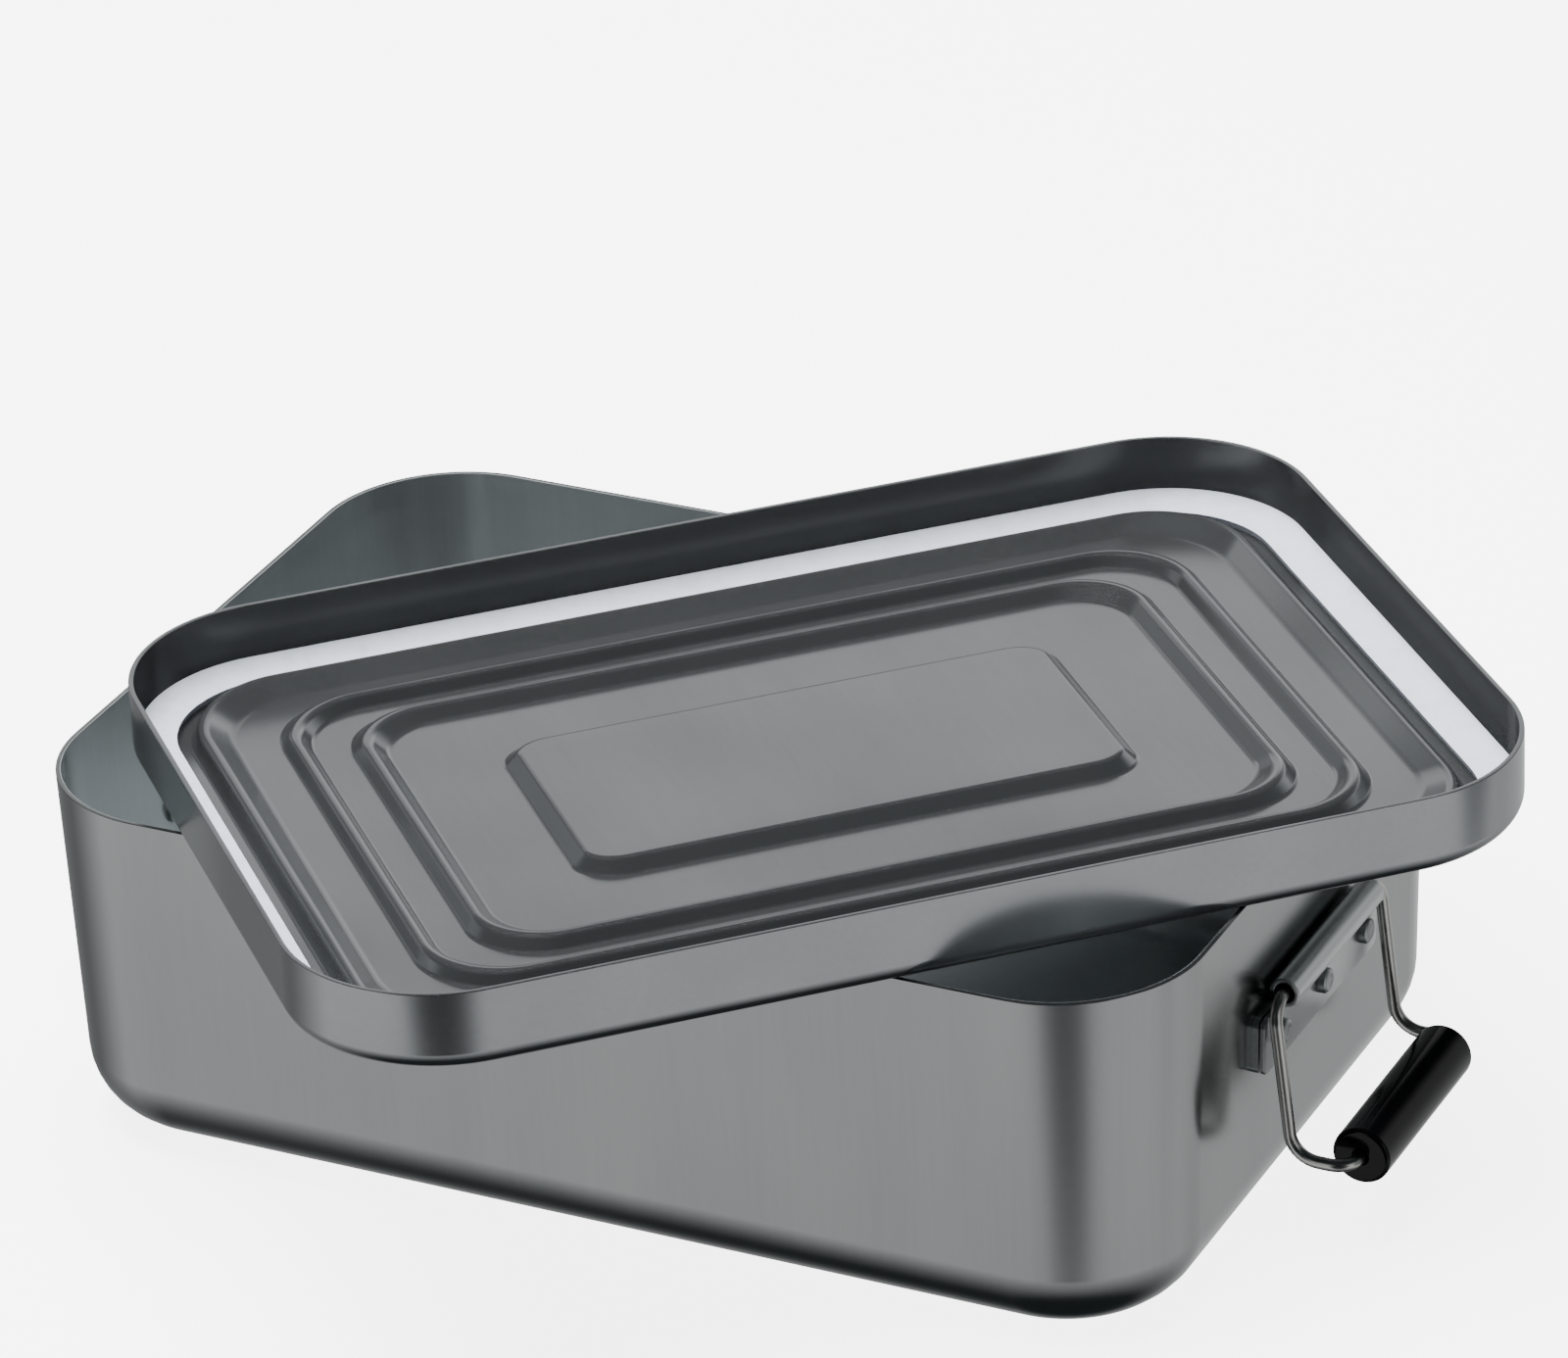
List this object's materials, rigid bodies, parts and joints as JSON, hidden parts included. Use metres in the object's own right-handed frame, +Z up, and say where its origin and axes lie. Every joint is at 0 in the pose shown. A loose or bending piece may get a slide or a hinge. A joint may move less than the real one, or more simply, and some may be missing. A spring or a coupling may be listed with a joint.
{
  "type": "metal lunch box",
  "caption": "Rectangular drawn-metal lunch box with a slip-on lid, a flat seal ring and swinging wire handles with moulded grips; the lid lies upturned across the rim.",
  "frame": {"origin": "centre of the tray's flat underside", "axes": "+X along the tray towards the right handle, +Y to the back, +Z up out of the tray"},
  "size_m": [0.2829, 0.2484, 0.0867],
  "materials": {
    "tray_metal": "dark grey satin anodised",
    "lid_metal": "dark grey satin anodised",
    "white_silicone": "matt translucent white",
    "bright_steel": "satin stainless strip",
    "steel_wire": "drawn stainless wire",
    "rivet_metal": "plain aluminium",
    "black_plastic": "gloss black"
  },
  "bodies": {
    "tray": {"box_body": "tray_metal", "right_hinge_strip": "bright_steel", "right_backing_strip": "bright_steel", "right_rivet_1": "rivet_metal", "right_washer_1": "rivet_metal", "right_rivet_2": "rivet_metal", "right_washer_2": "rivet_metal", "right_rivet_3": "rivet_metal", "right_washer_3": "rivet_metal", "left_hinge_strip": "bright_steel", "left_backing_strip": "bright_steel", "left_rivet_1": "rivet_metal", "left_washer_1": "rivet_metal", "left_rivet_2": "rivet_metal", "left_washer_2": "rivet_metal", "left_rivet_3": "rivet_metal", "left_washer_3": "rivet_metal"},
    "lid": {"lid_skirt": "lid_metal", "lid_panel": "lid_metal", "lid_seal": "white_silicone"},
    "right_bail": {"right_bail": "steel_wire"},
    "left_bail": {"left_bail": "steel_wire"},
    "right_grip": {"right_grip": "black_plastic"},
    "left_grip": {"left_grip": "black_plastic"}
  },
  "joints": [
    {"name": "lid_lift", "type": "slide", "parent": "tray", "child": "lid", "axis": [0, 0, 1], "range_m": [0, 0.1]},
    {"name": "right_handle_swing", "type": "hinge", "parent": "tray", "child": "right_bail", "pos_m": [0.11598, 0, 0.04899], "axis": [0, -1, 0], "range_deg": [0, 90]},
    {"name": "right_grip_spin", "type": "hinge", "parent": "right_bail", "child": "right_grip", "pos_m": [0.13038, 0, 0.0185], "axis": [0, 1, 0], "continuous": true},
    {"name": "left_handle_swing", "type": "hinge", "parent": "tray", "child": "left_bail", "pos_m": [-0.11598, 0, 0.04899], "axis": [0, 1, 0], "range_deg": [0, 174]},
    {"name": "left_grip_spin", "type": "hinge", "parent": "left_bail", "child": "left_grip", "pos_m": [-0.13038, 0, 0.0185], "axis": [0, 1, 0], "continuous": true}
  ]
}
